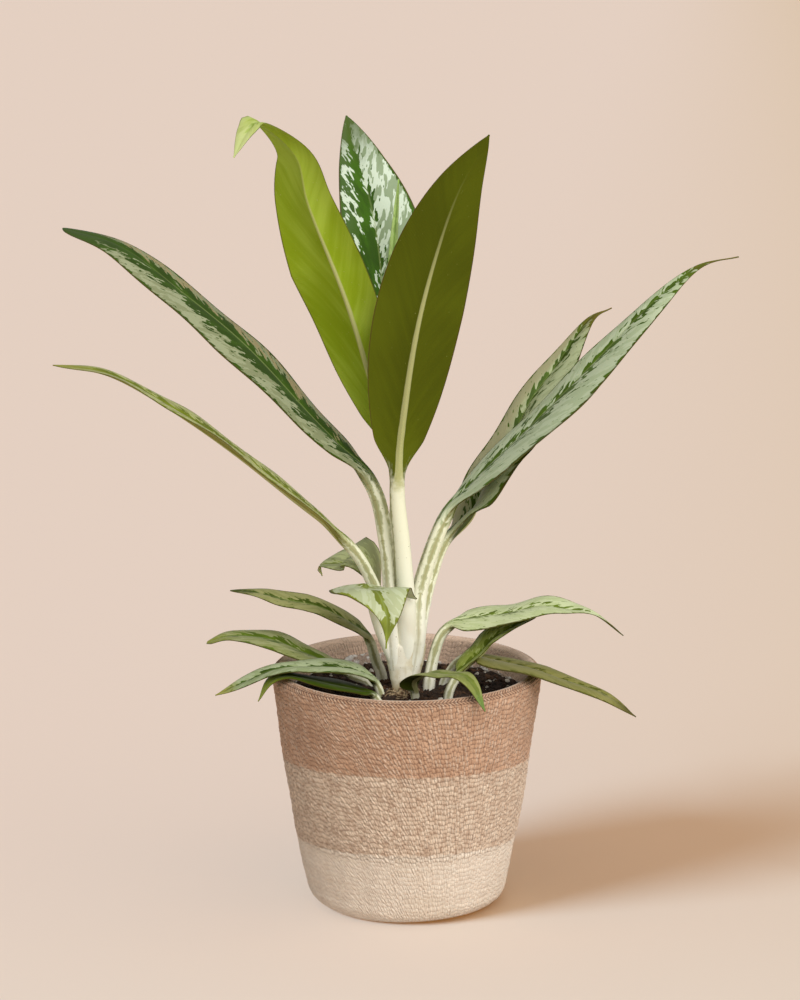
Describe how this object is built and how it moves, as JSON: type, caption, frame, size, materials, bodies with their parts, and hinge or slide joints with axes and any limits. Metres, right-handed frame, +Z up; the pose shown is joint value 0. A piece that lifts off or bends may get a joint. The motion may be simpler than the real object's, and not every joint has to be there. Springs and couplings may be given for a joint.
{
  "type": "potted chinese evergreen plant",
  "caption": "Chinese evergreen in a round woven basket: upright and arching pale green leaves with dark green flecks, on white stalks that rise from soil below the basket's rim.",
  "frame": {"origin": "centre of the basket's underside, on the surface it stands on", "axes": "+Z up, +X to the right of the picture's viewer, +Y away from the viewer"},
  "size_m": [0.4403, 0.175, 0.5137],
  "materials": {
    "basket_weave": "stitched twisted yarn, matte, in tan, mottled and cream bands",
    "liner_film": "thin clear film",
    "potting_soil": "loose peat and bark with white perlite, matte",
    "stem": "smooth, soft sheen",
    "leaf": "smooth waxy upper side, dull underside, white stalk"
  },
  "bodies": {
    "root": {"basket": "basket_weave", "liner": "liner_film", "soil": "potting_soil", "main_stem": "stem", "front_tall_leaf": "leaf", "left_long_leaf": "leaf", "right_long_leaf": "leaf", "right_back_leaf": "leaf", "left_thin_leaf": "leaf", "upper_left_leaf": "leaf", "back_tall_leaf": "leaf", "front_droop_leaf": "leaf", "back_hook_leaf": "leaf", "new_leaf_spear": "leaf", "left_upper_low_leaf": "leaf", "left_middle_low_leaf": "leaf", "left_front_low_leaf": "leaf", "left_rim_leaf": "leaf", "front_rim_leaf": "leaf", "right_folded_leaf": "leaf", "right_middle_leaf": "leaf", "right_low_leaf": "leaf"}
  },
  "joints": []
}
